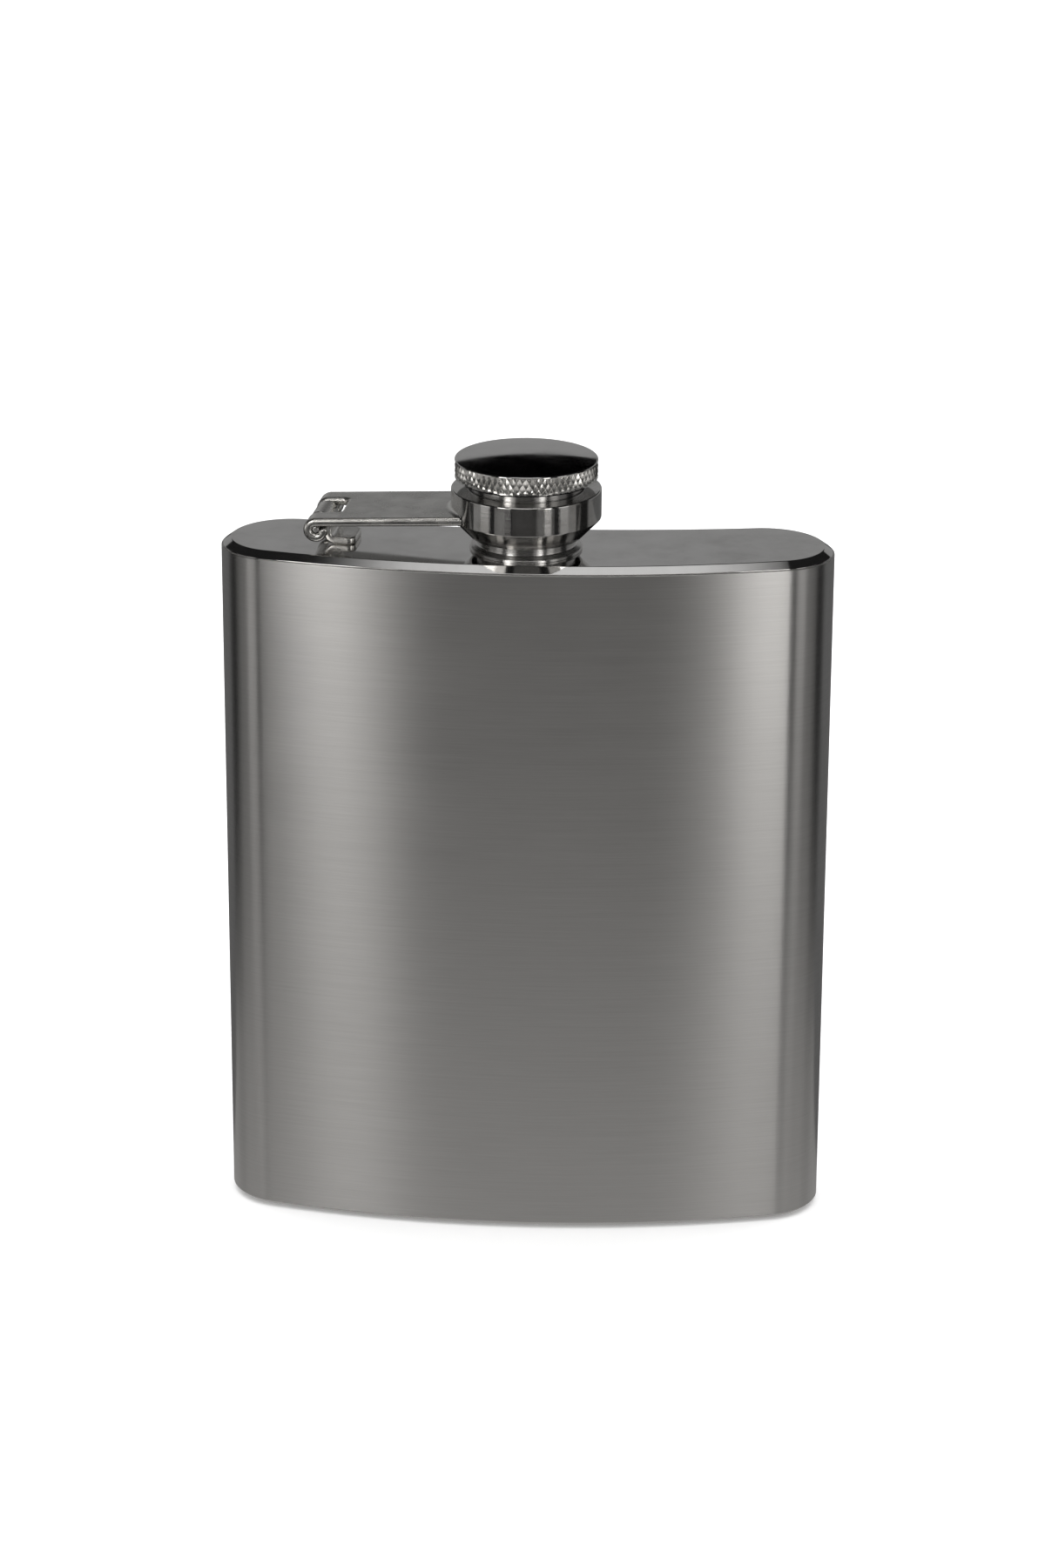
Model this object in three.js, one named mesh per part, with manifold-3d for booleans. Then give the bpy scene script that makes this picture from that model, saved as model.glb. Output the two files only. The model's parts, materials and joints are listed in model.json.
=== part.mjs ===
// A stainless steel hip flask with a captive screw cap. The flask stands on z = 0, the neck's axis
// is the z axis, and the bulging front faces -y. All sizes are in millimetres.
//
// The body is a sheet wrapped to a kidney-shaped section, closed by a bevelled pan at each end. The
// cap screws onto the neck and is held by a collar on a hinged arm, which lies along the middle of
// the shoulder and swings up and over towards -x.

import * as THREE from "three";
import { mergeVertices } from "three/addons/utils/BufferGeometryUtils.js";
import Module from "manifold-3d";

const wasm = await Module();
wasm.setup();

// ---- Driving dimensions ----

const WIDTH = 94;
const THICKNESS = 22; // front to back across the middle
const SHOULDER = 109.5; // height of the flat shoulder
const FRONT_RADIUS = 155; // bulge of the front wall
const BACK_RADIUS = 220; // hollow of the back wall, which fits the hip
const FRONT_CORNER = 9.4; // radius where the front wall turns into the end
const SHEET = 0.6; // wall thickness
const BEVEL_WIDTH = 1.5; // bevel round both pans, seen from above
const BEVEL_HEIGHT = 1.1;
const SKIRT_DEPTH = 3.5; // how far a pan's skirt reaches into the wall
const FIT = 0.15; // clearance round pieces that slip into each other

const NECK_RADIUS = 7.5; // thread crest and plain land
const NECK_ROOT = 7.05; // thread root
const NECK_BORE = 6.2;
const NECK_TOP = SHOULDER + 8.6;
const NECK_FLANGE = 8.6; // radius of the flange on the shoulder
const NECK_SPIGOT = 6.85; // radius of the stub that goes through the shoulder
const THREAD_PITCH = 1.25;
const THREAD_TURNS = 4;
const THREAD_START = SHOULDER + 3.4; // middle of the lowest ridge

const HEAD_RADIUS = 10.9;
const HEAD_BOTTOM = SHOULDER + 11.05;
const HEAD_EDGE = SHOULDER + 14.2; // top of the knurled band
const HEAD_CROWN = 0.45; // how far the lid's middle stands above its edge
const SLEEVE_RADIUS = 8.6;
const SLEEVE_BORE = 8; // half a millimetre clear of the neck, so that the cap can swing off it
const SLEEVE_BOTTOM = SHOULDER + 4.2;
const SEAL_THICKNESS = 1.2;
const SEAL_GAP = 0.05;

const COLLAR_RADIUS = 11.45;
const COLLAR_TOP = SHOULDER + 9.6;
const COLLAR_CONE_TOP = SHOULDER + 5.15;
const COLLAR_BOTTOM = SHOULDER + 2.2;
const COLLAR_BORE = 8.8; // the lip that the sleeve turns in
const COLLAR_LIP = 1.4; // depth of that lip
const COLLAR_MOUTH = 8.3;

const ARM_LENGTH = 31.25; // hinge axis to neck axis
const ARM_YAW = THREE.MathUtils.degToRad(5); // the arm follows the shoulder's curve
const ARM_SLOPE = THREE.MathUtils.degToRad(3); // the strap rises towards the collar
const ARM_WIDTH = 14.9;
const ARM_SHEET = 1.3;
const HINGE_HEIGHT = 3.4; // hinge axis above the shoulder
const PIN_RADIUS = 0.5;
const NOTCH_WIDTH = 7.2;
const NOTCH_REACH = 3.4; // from the hinge axis to the end of the notch
const BRACKET_WIDTH = 6.4;
const BRACKET_SHEET = 1.15;
const FOOT_REACH = 5.4; // from the hinge axis to the end of the bracket's foot

const ROUND_STEPS = 48; // facets round the neck, cap and collar
const WALL_STEPS = 24; // facets along the front and back walls
const CORNER_STEPS = 8;
const WELD_GAP = 0.3; // left between pieces that are welded along a curve

// ---- Materials ----

function steel(name, colour, roughness) {
  return new THREE.MeshStandardMaterial({ name, color: colour, roughness, metalness: 1 });
}

const brushed = steel("brushed_steel", 0x8c8b8a, 0.38);
const polished = steel("polished_steel", 0xa9a8a6, 0.08);
const plain = steel("plain_steel", 0x9a9997, 0.25);
const silicone = new THREE.MeshStandardMaterial({
  name: "silicone",
  color: 0xd9d6cf,
  roughness: 0.6,
  metalness: 0,
});

// ---- Solids ----

function toSolid(geometry) {
  const bare = geometry.clone();
  bare.deleteAttribute("normal");
  bare.deleteAttribute("uv");
  const merged = mergeVertices(bare, 1e-4);
  const mesh = new wasm.Mesh({
    numProp: 3,
    vertProperties: merged.attributes.position.array,
    triVerts: new Uint32Array(merged.index.array),
  });
  return new wasm.Manifold(mesh);
}

function toGeometry(solid) {
  const mesh = solid.getMesh();
  const geometry = new THREE.BufferGeometry();
  geometry.setAttribute("position", new THREE.BufferAttribute(mesh.vertProperties, 3));
  geometry.setIndex(new THREE.BufferAttribute(mesh.triVerts, 1));
  geometry.computeVertexNormals();
  return geometry;
}

function joined(first, ...others) {
  return toGeometry(others.reduce((solid, next) => solid.add(toSolid(next)), toSolid(first)));
}

function cut(first, ...tools) {
  return toGeometry(tools.reduce((solid, tool) => solid.subtract(toSolid(tool)), toSolid(first)));
}

// A solid turned about the z axis. The outline's points are [radius, height], anticlockwise, and it
// either starts and ends on the axis or is a ring that gets closed here.
function turned(outline) {
  const points = outline.map(([radius, height]) => new THREE.Vector2(radius, height));
  if (outline[0][0] > 0) points.push(points[0].clone());
  return new THREE.LatheGeometry(points, ROUND_STEPS).rotateX(Math.PI / 2);
}

// A flat outline in x and z given a width along y, centred on y = 0.
function acrossY(outline, width) {
  const options = { depth: width, bevelEnabled: false };
  const solid = new THREE.ExtrudeGeometry(new THREE.Shape(outline), options);
  return solid.rotateX(Math.PI / 2).translate(0, width / 2, 0);
}

function upright(radius, height) {
  return new THREE.CylinderGeometry(radius, radius, height, ROUND_STEPS).rotateX(Math.PI / 2);
}

// Points along an arc, without its last point, so that the next stretch can start there.
function arc(x, y, radius, from, to, steps) {
  return Array.from({ length: steps }, (_, i) => {
    const angle = from + ((to - from) * i) / steps;
    return new THREE.Vector2(x + radius * Math.cos(angle), y + radius * Math.sin(angle));
  });
}

// ---- The kidney-shaped section ----

// The front and back walls are arcs about points on the y axis. Each end is two arcs that touch the
// walls and each other, the second with its radius worked out so that it touches the back wall.
const frontCentre = FRONT_RADIUS - THICKNESS / 2;
const backCentre = BACK_RADIUS + THICKNESS / 2;
const frontCornerX = WIDTH / 2 - FRONT_CORNER;
const endY = frontCentre - Math.sqrt((FRONT_RADIUS - FRONT_CORNER) ** 2 - frontCornerX ** 2);
const backCorner =
  ((WIDTH / 2) ** 2 + (backCentre - endY) ** 2 - BACK_RADIUS ** 2) / (WIDTH + 2 * BACK_RADIUS);
const backCornerX = WIDTH / 2 - backCorner;
const frontAngle = Math.atan2(frontCornerX, frontCentre - endY);
const backAngle = Math.atan2(backCornerX, backCentre - endY);

// The section's outline, moved inwards by inset.
function section(inset) {
  const quarter = Math.PI / 2;
  const front = FRONT_RADIUS - inset;
  const back = BACK_RADIUS + inset;
  const small = FRONT_CORNER - inset;
  const large = backCorner - inset;
  return [
    ...arc(0, frontCentre, front, -quarter - frontAngle, -quarter + frontAngle, WALL_STEPS),
    ...arc(frontCornerX, endY, small, -quarter + frontAngle, 0, CORNER_STEPS),
    ...arc(backCornerX, endY, large, 0, quarter + backAngle, CORNER_STEPS),
    ...arc(0, backCentre, back, -quarter + backAngle, -quarter - backAngle, WALL_STEPS),
    ...arc(-backCornerX, endY, large, quarter - backAngle, 2 * quarter, CORNER_STEPS),
    ...arc(-frontCornerX, endY, small, 2 * quarter, 3 * quarter - frontAngle, CORNER_STEPS),
  ];
}

// A ring with the section's outline, between two insets and two heights.
function sectionRing(outerInset, innerInset, bottom, top) {
  const shape = new THREE.Shape(section(outerInset));
  shape.holes.push(new THREE.Path(section(innerInset)));
  const ring = new THREE.ExtrudeGeometry(shape, { depth: top - bottom, bevelEnabled: false });
  return ring.translate(0, 0, bottom);
}

// ---- The flask ----

function bodyShell() {
  return sectionRing(0, SHEET, BEVEL_HEIGHT, SHOULDER - BEVEL_HEIGHT);
}

// A bevelled end plate with a skirt below it that fits inside the wall. Its outer face is at z = 0.
function pan() {
  const face = new THREE.Shape(section(BEVEL_WIDTH));
  const plate = new THREE.ExtrudeGeometry(face, {
    depth: BEVEL_HEIGHT,
    bevelSize: BEVEL_WIDTH,
    bevelThickness: BEVEL_HEIGHT,
    bevelSegments: 1,
  });
  plate.translate(0, 0, -2 * BEVEL_HEIGHT);
  const below = new THREE.BoxGeometry(2 * WIDTH, 2 * WIDTH, 2 * SKIRT_DEPTH);
  below.translate(0, 0, -BEVEL_HEIGHT - SKIRT_DEPTH);
  const skirtInset = SHEET + FIT;
  const skirt = sectionRing(
    skirtInset,
    skirtInset + SHEET,
    -BEVEL_HEIGHT - SKIRT_DEPTH,
    -BEVEL_HEIGHT,
  );
  return joined(cut(plate, below), skirt);
}

function shoulderPan() {
  const hole = upright(NECK_SPIGOT + FIT, 6 * BEVEL_HEIGHT);
  return cut(pan(), hole).translate(0, 0, SHOULDER);
}

// The section is the same on its left and right, so the pan can be turned over about the y axis.
function basePan() {
  return pan().rotateY(Math.PI);
}

// Ring-shaped ridges have the thread's pitch and depth, and stand for its turns.
function threadRidges() {
  const depth = NECK_RADIUS - NECK_ROOT;
  const crest = 0.12; // half the flat on a ridge
  return Array.from({ length: THREAD_TURNS }, (_, i) => {
    const middle = THREAD_START + i * THREAD_PITCH;
    return [
      [NECK_ROOT, middle - crest - depth],
      [NECK_RADIUS, middle - crest],
      [NECK_RADIUS, middle + crest],
      [NECK_ROOT, middle + crest + depth],
    ];
  }).flat();
}

function neck() {
  const stub = SHOULDER - 2.2;
  const landTop = SHOULDER + 2.3;
  const flangeEdge = 0.35;
  const chamfer = 0.35;
  return turned([
    [NECK_BORE, stub],
    [NECK_SPIGOT, stub],
    [NECK_SPIGOT, SHOULDER],
    [NECK_FLANGE, SHOULDER],
    [NECK_FLANGE, SHOULDER + flangeEdge],
    [NECK_RADIUS, SHOULDER + 2 * flangeEdge],
    [NECK_RADIUS, landTop],
    [NECK_ROOT, landTop + chamfer],
    ...threadRidges(),
    [NECK_ROOT, NECK_TOP - chamfer],
    [NECK_ROOT - chamfer, NECK_TOP],
    [NECK_BORE + chamfer / 2, NECK_TOP],
    [NECK_BORE, NECK_TOP - chamfer / 2],
  ]);
}

// ---- The hinge, in a frame whose origin is the hinge axis, with +x towards the neck ----

// A strip that runs in from +x, bottom to top from 0.
function hingeBracket() {
  const inner = PIN_RADIUS + 0.05;
  const outer = inner + BRACKET_SHEET;
  const deck = -HINGE_HEIGHT;
  const bend = 0.6; // inner radius of the bend between the foot and the riser
  const bendZ = deck + BRACKET_SHEET + bend;
  const curlEnd = THREE.MathUtils.degToRad(284);
  const outline = [
    new THREE.Vector2(FOOT_REACH, deck),
    new THREE.Vector2(FOOT_REACH, deck + BRACKET_SHEET),
    ...arc(outer + bend, bendZ, bend, 1.5 * Math.PI, Math.PI, 3),
    ...arc(0, 0, outer, 0, curlEnd, 12),
    new THREE.Vector2(outer * Math.cos(curlEnd), outer * Math.sin(curlEnd)),
    ...arc(0, 0, inner, curlEnd, 0, 8),
    new THREE.Vector2(inner, 0),
    ...arc(outer + bend, bendZ, bend + BRACKET_SHEET, Math.PI, 1.5 * Math.PI, 3),
  ];
  return acrossY(outline, BRACKET_WIDTH);
}

function hingePin() {
  const recess = 0.4; // how far each end sits inside the arm's knuckle
  const length = ARM_WIDTH - 2 * recess;
  return new THREE.CylinderGeometry(PIN_RADIUS, PIN_RADIUS, length, 24);
}

// The arm is a strap whose end is rolled round the pin, cut out in the middle for the bracket and
// shaped at the far end to sit against the collar.
function capArm() {
  const inner = PIN_RADIUS + 0.06;
  const outer = inner + ARM_SHEET;
  const curlEnd = THREE.MathUtils.degToRad(370);
  const strap = acrossY(
    [
      new THREE.Vector2(ARM_LENGTH, outer),
      ...arc(0, 0, outer, Math.PI / 2, curlEnd, 16),
      new THREE.Vector2(outer * Math.cos(curlEnd), outer * Math.sin(curlEnd)),
      ...arc(0, 0, inner, curlEnd, Math.PI / 2, 10),
      new THREE.Vector2(0, inner),
      new THREE.Vector2(ARM_LENGTH, inner),
    ],
    ARM_WIDTH,
  );
  const notchLength = NOTCH_REACH + 2 * outer;
  const notch = new THREE.BoxGeometry(notchLength, NOTCH_WIDTH, 4 * outer);
  notch.translate(NOTCH_REACH - notchLength / 2, 0, 0);
  const sloping = cut(strap, notch).rotateY(-ARM_SLOPE);
  const collar = upright(COLLAR_RADIUS + WELD_GAP, 4 * ARM_WIDTH).translate(ARM_LENGTH, 0, 0);
  return cut(sloping, collar);
}

// ---- The collar and the cap ----

function collarRing() {
  const wall = 1.15;
  const edge = 0.3;
  const cavity = COLLAR_RADIUS - wall;
  const lipBottom = COLLAR_TOP - COLLAR_LIP;
  return turned([
    [COLLAR_MOUTH, COLLAR_BOTTOM],
    [COLLAR_MOUTH + edge, COLLAR_BOTTOM],
    [COLLAR_RADIUS, COLLAR_CONE_TOP],
    [COLLAR_RADIUS, COLLAR_TOP - edge],
    [COLLAR_RADIUS - edge, COLLAR_TOP],
    [COLLAR_BORE, COLLAR_TOP],
    [COLLAR_BORE, lipBottom],
    [cavity, lipBottom],
    [cavity, COLLAR_CONE_TOP + edge],
    [COLLAR_MOUTH, COLLAR_BOTTOM + 1],
  ]);
}

// The snap ring sits in a groove near the sleeve's end and stops the cap from leaving the collar.
const RING_BOTTOM = SLEEVE_BOTTOM + 0.6;
const RING_THICKNESS = 0.6;
const RING_RADIUS = 9.4;
const GROOVE_RADIUS = SLEEVE_RADIUS - 0.3;
const RING_PLAY = 0.1;

function snapRing() {
  const ring = turned([
    [GROOVE_RADIUS + RING_PLAY, RING_BOTTOM],
    [RING_RADIUS, RING_BOTTOM],
    [RING_RADIUS, RING_BOTTOM + RING_THICKNESS],
    [GROOVE_RADIUS + RING_PLAY, RING_BOTTOM + RING_THICKNESS],
  ]);
  const split = new THREE.BoxGeometry(2 * RING_RADIUS, 2.5, 4 * RING_THICKNESS);
  split.translate(RING_RADIUS, 0, RING_BOTTOM);
  return cut(ring, split);
}

// The thick web that closes the sleeve is welded to the head's underside.
function capSleeve() {
  const ceiling = NECK_TOP + SEAL_GAP + SEAL_THICKNESS + SEAL_GAP;
  return turned([
    [0, ceiling],
    [SLEEVE_BORE, ceiling],
    [SLEEVE_BORE, SLEEVE_BOTTOM],
    [SLEEVE_RADIUS, SLEEVE_BOTTOM],
    [SLEEVE_RADIUS, RING_BOTTOM - RING_PLAY],
    [GROOVE_RADIUS, RING_BOTTOM - RING_PLAY],
    [GROOVE_RADIUS, RING_BOTTOM + RING_THICKNESS + RING_PLAY],
    [SLEEVE_RADIUS, RING_BOTTOM + RING_THICKNESS + RING_PLAY],
    [SLEEVE_RADIUS, HEAD_BOTTOM],
    [0, HEAD_BOTTOM],
  ]);
}

function capHead() {
  const edge = 0.25;
  const crownSteps = 4;
  const lid = Array.from({ length: crownSteps + 1 }, (_, i) => {
    const out = (HEAD_RADIUS - edge) * (1 - i / crownSteps);
    const rise = HEAD_CROWN * (1 - (out / (HEAD_RADIUS - edge)) ** 2);
    return [out, HEAD_EDGE + rise];
  });
  return turned([
    [0, HEAD_BOTTOM],
    [HEAD_RADIUS - 2 * edge, HEAD_BOTTOM],
    [HEAD_RADIUS, HEAD_BOTTOM + 2 * edge],
    [HEAD_RADIUS, HEAD_EDGE - edge],
    ...lid,
  ]);
}

function sealDisc() {
  const radius = SLEEVE_BORE - FIT;
  const bottom = NECK_TOP + SEAL_GAP;
  const disc = upright(radius, SEAL_THICKNESS);
  return disc.translate(0, 0, bottom + SEAL_THICKNESS / 2);
}

// ---- The assembly ----

function piece(name, geometry, material) {
  const mesh = new THREE.Mesh(geometry, material);
  mesh.name = name;
  return mesh;
}

const hinge = new THREE.Group();
hinge.position.set(
  -ARM_LENGTH * Math.cos(ARM_YAW),
  ARM_LENGTH * Math.sin(ARM_YAW),
  SHOULDER + HINGE_HEIGHT,
);
hinge.rotation.z = -ARM_YAW;
hinge.add(
  piece("hinge_bracket", hingeBracket(), polished),
  piece("hinge_pin", hingePin(), plain),
  piece("cap_arm", capArm(), polished),
);

const flask = new THREE.Group();
flask.add(
  piece("body_shell", bodyShell(), brushed),
  piece("shoulder_pan", shoulderPan(), polished),
  piece("base_pan", basePan(), polished),
  piece("neck", neck(), polished),
  hinge,
  piece("collar_ring", collarRing(), polished),
  piece("cap_head", capHead(), polished),
  piece("cap_sleeve", capSleeve(), plain),
  piece("snap_ring", snapRing(), plain),
  piece("seal_disc", sealDisc(), silicone),
);

export default flask;
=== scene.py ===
import json
import math

import bmesh
import bpy
from mathutils import Matrix, Vector


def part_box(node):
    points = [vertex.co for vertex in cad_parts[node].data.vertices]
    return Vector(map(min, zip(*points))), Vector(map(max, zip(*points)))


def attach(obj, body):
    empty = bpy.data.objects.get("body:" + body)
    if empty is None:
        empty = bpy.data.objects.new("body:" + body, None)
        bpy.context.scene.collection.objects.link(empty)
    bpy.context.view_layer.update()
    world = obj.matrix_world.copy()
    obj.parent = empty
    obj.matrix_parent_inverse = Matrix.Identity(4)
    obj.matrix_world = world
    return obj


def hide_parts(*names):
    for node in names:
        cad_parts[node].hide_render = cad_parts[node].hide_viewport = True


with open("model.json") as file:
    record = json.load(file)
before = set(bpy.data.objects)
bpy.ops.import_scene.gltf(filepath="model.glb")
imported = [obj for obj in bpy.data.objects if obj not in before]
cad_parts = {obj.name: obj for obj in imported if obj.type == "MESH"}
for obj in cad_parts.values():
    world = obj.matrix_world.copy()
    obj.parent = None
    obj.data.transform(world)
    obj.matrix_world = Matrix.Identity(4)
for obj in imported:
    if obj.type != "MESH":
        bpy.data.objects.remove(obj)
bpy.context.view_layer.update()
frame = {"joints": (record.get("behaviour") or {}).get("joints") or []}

# A stainless steel hip flask. Every size below is in metres, in the frame's own axes: the flask
# stands on z = 0, the neck's axis is the z axis and the bulging front faces -y.

MM = 0.001


# ---- Sizes taken from the frame ----


def top(node):
    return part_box(node)[1].z


def bottom(node):
    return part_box(node)[0].z


def reach(node):
    """How far a round node on the neck's axis reaches from it."""
    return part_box(node)[1].x


WALL_LOW, WALL_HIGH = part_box("body_shell")
WIDTH = WALL_HIGH.x - WALL_LOW.x
THICKNESS = -2 * WALL_LOW.y
SHOULDER = top("shoulder_pan")
SKIRT_BOTTOM = bottom("shoulder_pan")
BEVEL_HEIGHT = SHOULDER - WALL_HIGH.z
NECK_TOP = top("neck")
NECK_BOTTOM = bottom("neck")
FLANGE_RADIUS = reach("neck")
HEAD_RADIUS = reach("cap_head")
HEAD_BOTTOM = bottom("cap_head")
HEAD_TOP = top("cap_head")
COLLAR_RADIUS = reach("collar_ring")
COLLAR_BOTTOM = bottom("collar_ring")
COLLAR_TOP = top("collar_ring")
SLEEVE_RADIUS = reach("cap_sleeve")
SLEEVE_BOTTOM = bottom("cap_sleeve")

HINGE_JOINT = next(joint for joint in frame["joints"] if joint["name"] == "arm_hinge")
HINGE = Vector(HINGE_JOINT["pos_m"])
ARM_LENGTH = math.hypot(HINGE.x, HINGE.y)
ARM_YAW = math.atan2(HINGE.y, -HINGE.x)

# ---- Sizes that the frame's boxes don't give ----

FRONT_RADIUS = 155 * MM
BACK_RADIUS = 220 * MM
FRONT_CORNER = 9.4 * MM
SHEET = 0.6 * MM
BEVEL_WIDTH = 1.5 * MM
FIT = 0.15 * MM

NECK_RADIUS = 7.5 * MM
NECK_ROOT = 7.05 * MM
NECK_BORE = 6.2 * MM
NECK_SPIGOT = 6.85 * MM
THREAD_PITCH = 1.25 * MM

HEAD_CROWN = 0.45 * MM
SLEEVE_BORE = 8 * MM
COLLAR_BORE = 8.8 * MM
COLLAR_MOUTH = 8.3 * MM
COLLAR_LIP = 1.4 * MM
COLLAR_WALL = 1.15 * MM
CONE_RISE = 2.95 * MM
RING_RADIUS = 9.4 * MM
RING_THICKNESS = 0.6 * MM

ARM_WIDTH = 14.9 * MM
ARM_SHEET = 1.3 * MM
ARM_SLOPE = math.radians(3)
PIN_RADIUS = 0.5 * MM
NOTCH_WIDTH = 7.2 * MM
NOTCH_REACH = 3.4 * MM
BRACKET_WIDTH = 6.4 * MM
BRACKET_SHEET = 1.15 * MM
FOOT_REACH = 5.4 * MM

ROUND_STEPS = 144
FRONT_STEPS = 72  # along the front wall, and as many along the back
FRONT_CORNER_STEPS = 24
BACK_CORNER_STEPS = 28
FILLET_STEP = math.radians(15)
SUPPORT = 0.03 * MM  # strip beside a rounded edge that keeps the shading of the flat beyond it even
TINY = 1e-9
CLOSE = 1e-6  # two lengths within this are the same


# ---- Meshes ----


def filleted(corners, closed=True):
    """The outline through corners (x, y, radius), each rounded by an arc of its radius. The two
    ends of an outline that isn't closed stay as they are."""
    points = []
    count = len(corners)
    for i, (x, y, radius) in enumerate(corners):
        here = Vector((x, y))
        if radius == 0 or (not closed and i in (0, count - 1)):
            points.append(here)
            continue
        before = (Vector(corners[i - 1][:2]) - here).normalized()
        after = (Vector(corners[(i + 1) % count][:2]) - here).normalized()
        turn = math.pi - before.angle(after)
        tangent = radius * math.tan(turn / 2)
        centre = here + (before + after).normalized() * radius / math.cos(turn / 2)
        arm = here + before * tangent - centre
        side = math.copysign(1, before.cross(after))
        steps = max(3, round(turn / FILLET_STEP))
        points.append(here + before * (tangent + SUPPORT))
        for k in range(steps + 1):
            points.append(centre + Matrix.Rotation(-side * turn * k / steps, 2) @ arm)
        points.append(here + after * (tangent + SUPPORT))
    return points


def finish_mesh(mesh, name, sharp_angle=40):
    """Turns a bmesh into an object: faces outwards, smooth except across sharp edges."""
    bmesh.ops.remove_doubles(mesh, verts=mesh.verts, dist=1e-7)
    bmesh.ops.recalc_face_normals(mesh, faces=mesh.faces)
    limit = math.radians(sharp_angle)
    for face in mesh.faces:
        face.smooth = True
    for edge in mesh.edges:
        edge.smooth = len(edge.link_faces) == 2 and edge.calc_face_angle() < limit
    data = bpy.data.meshes.new(name)
    mesh.to_mesh(data)
    mesh.free()
    piece = bpy.data.objects.new(name, data)
    bpy.context.scene.collection.objects.link(piece)
    return piece


def loop_faces(mesh, first, second):
    """Faces between two loops of vertices. Where the loops share a vertex, a face is a triangle."""
    count = len(first)
    for i in range(count):
        j = (i + 1) % count
        corners = [first[i], first[j], second[j], second[i]]
        unique = list(dict.fromkeys(corners))
        if len(unique) > 2:
            mesh.faces.new(unique)


def turned(name, outline, columns=ROUND_STEPS, relief=None, change=None):
    """A solid turned about the z axis from outline points (radius, height). An outline that doesn't
    start on the axis is closed into a ring. relief(angle, height, radius) is added to the radius,
    and change(mesh) may alter the mesh before it is finished."""
    mesh = bmesh.new()
    rings = []
    for radius, height in outline:
        if radius < TINY:
            pole = mesh.verts.new((0, 0, height))
            rings.append([pole] * columns)
            continue
        ring = []
        for i in range(columns):
            angle = 2 * math.pi * i / columns
            here = radius + (relief(angle, height, radius) if relief else 0)
            ring.append(mesh.verts.new((here * math.cos(angle), here * math.sin(angle), height)))
        rings.append(ring)
    for lower, upper in zip(rings, rings[1:]):
        loop_faces(mesh, lower, upper)
    if outline[0][0] > TINY:
        loop_faces(mesh, rings[-1], rings[0])
    if change:
        change(mesh)
    return finish_mesh(mesh, name)


def divided(start, end, step):
    """Points from start to end, no further apart than step, without the last one."""
    count = max(1, math.ceil((Vector(end) - Vector(start)).length / step))
    return [Vector(start).lerp(Vector(end), k / count) for k in range(count)]


# ---- The kidney-shaped section ----

FRONT_CENTRE = FRONT_RADIUS - THICKNESS / 2
BACK_CENTRE = BACK_RADIUS + THICKNESS / 2
FRONT_CORNER_X = WIDTH / 2 - FRONT_CORNER
END_Y = FRONT_CENTRE - math.sqrt((FRONT_RADIUS - FRONT_CORNER) ** 2 - FRONT_CORNER_X**2)
BACK_CORNER = ((WIDTH / 2) ** 2 + (BACK_CENTRE - END_Y) ** 2 - BACK_RADIUS**2) / (
    WIDTH + 2 * BACK_RADIUS
)
BACK_CORNER_X = WIDTH / 2 - BACK_CORNER
FRONT_ANGLE = math.atan2(FRONT_CORNER_X, FRONT_CENTRE - END_Y)
BACK_ANGLE = math.atan2(BACK_CORNER_X, BACK_CENTRE - END_Y)


def arc(x, y, radius, start, end, steps):
    """Points along an arc, without the last one."""
    angles = [start + (end - start) * k / steps for k in range(steps)]
    return [(x + radius * math.cos(a), y + radius * math.sin(a)) for a in angles]


def section(inset):
    """The wall's outline seen from above, anticlockwise, moved inwards by inset."""
    quarter = math.pi / 2
    front, back = FRONT_RADIUS - inset, BACK_RADIUS + inset
    small, large = FRONT_CORNER - inset, BACK_CORNER - inset
    fx, bx, y = FRONT_CORNER_X, BACK_CORNER_X, END_Y
    return (
        arc(0, FRONT_CENTRE, front, -quarter - FRONT_ANGLE, -quarter + FRONT_ANGLE, FRONT_STEPS)
        + arc(fx, y, small, -quarter + FRONT_ANGLE, 0, FRONT_CORNER_STEPS)
        + arc(bx, y, large, 0, quarter + BACK_ANGLE, BACK_CORNER_STEPS)
        + arc(0, BACK_CENTRE, back, -quarter + BACK_ANGLE, -quarter - BACK_ANGLE, FRONT_STEPS)
        + arc(-bx, y, large, quarter - BACK_ANGLE, 2 * quarter, BACK_CORNER_STEPS)
        + arc(-fx, y, small, 2 * quarter, 3 * quarter - FRONT_ANGLE, FRONT_CORNER_STEPS)
    )


def section_rings(mesh, layers):
    """One ring of the section for each layer (inset, height), joined in turn."""
    rings = []
    for inset, height in layers:
        rings.append([mesh.verts.new((x, y, height)) for x, y in section(inset)])
    for lower, upper in zip(rings, rings[1:]):
        loop_faces(mesh, lower, upper)
    return rings


def add_wall_map(piece):
    """A UV map in metres: distance round the section by height. The brushing follows it. The wall's
    vertices are made ring by ring, so their order gives each its place round the section."""
    data = piece.data
    outline = [Vector(point) for point in section(0)]
    total = len(outline)
    distance = [0.0]
    for k in range(total):
        distance.append(distance[-1] + (outline[(k + 1) % total] - outline[k]).length)
    layer = data.uv_layers.new(name="brushing")
    for polygon in data.polygons:
        columns = [data.loops[i].vertex_index % total for i in polygon.loop_indices]
        at_seam = max(columns) - min(columns) > total / 2
        for i, column in zip(polygon.loop_indices, columns):
            along = distance[total if at_seam and column == 0 else column]
            height = data.vertices[data.loops[i].vertex_index].co.z
            layer.data[i].uv = (along, height)


def build_wall():
    rim = 0.08 * MM
    low, high = WALL_LOW.z, WALL_HIGH.z
    corners = [(0, low, rim), (0, high, rim), (SHEET, high, rim), (SHEET, low, rim)]
    layers = filleted(corners)
    mesh = bmesh.new()
    rings = section_rings(mesh, layers)
    loop_faces(mesh, rings[-1], rings[0])
    piece = finish_mesh(mesh, "wall", sharp_angle=180)
    add_wall_map(piece)
    return piece


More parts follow.
